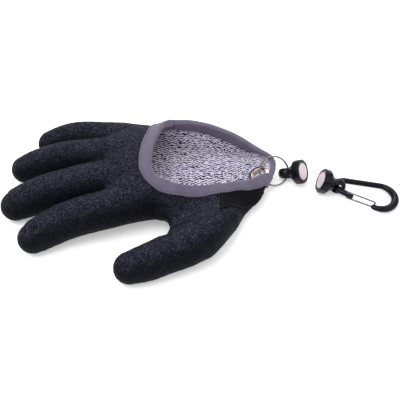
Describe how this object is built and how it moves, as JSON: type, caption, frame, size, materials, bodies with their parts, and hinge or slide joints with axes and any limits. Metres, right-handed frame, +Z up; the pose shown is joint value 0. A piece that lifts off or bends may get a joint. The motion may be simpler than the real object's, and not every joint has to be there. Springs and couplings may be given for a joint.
{
  "type": "fishing glove",
  "caption": "Latex-dipped knit landing glove for the right hand, lying palm down, with open back, bound rim, split ring, magnetic release and wire-gate carabiner.",
  "frame": {"origin": "centre of the footprint on the surface that the glove lies on", "axes": "+Z up from the surface; +X along the glove from the fingertips to the wrist and the carabiner; +Y towards the little finger"},
  "size_m": [0.3244, 0.1604, 0.0488],
  "materials": {
    "latex": "matt crinkled latex, near black",
    "knit": "melange grey machine knit",
    "webbing": "violet-grey elastic webbing",
    "woven_label": "black woven, bare",
    "nickel": "nickel plated",
    "steel": "polished steel",
    "black_plastic": "satin black",
    "plated_magnet": "nickel plated",
    "anodised": "black anodised, glossy"
  },
  "bodies": {
    "glove": {"latex_palm": "latex", "latex_fingers": "latex", "knit_liner": "knit", "rim_binding": "webbing", "side_label": "woven_label", "grommet": "nickel", "split_ring": "steel", "holder_glove_side": "black_plastic", "magnet_glove_side": "plated_magnet", "holder_line_side": "black_plastic", "magnet_line_side": "plated_magnet", "carabiner_body": "anodised"},
    "gate": {"wire_gate": "steel"}
  },
  "joints": [
    {"name": "gate_hinge", "type": "hinge", "parent": "glove", "child": "gate", "pos_m": [0.11955, 0.01138, 0.00574], "axis": [0.0589, -0.022, 0.998], "range_deg": [0, 24], "stiffness_Nm_per_rad": 0.05}
  ]
}
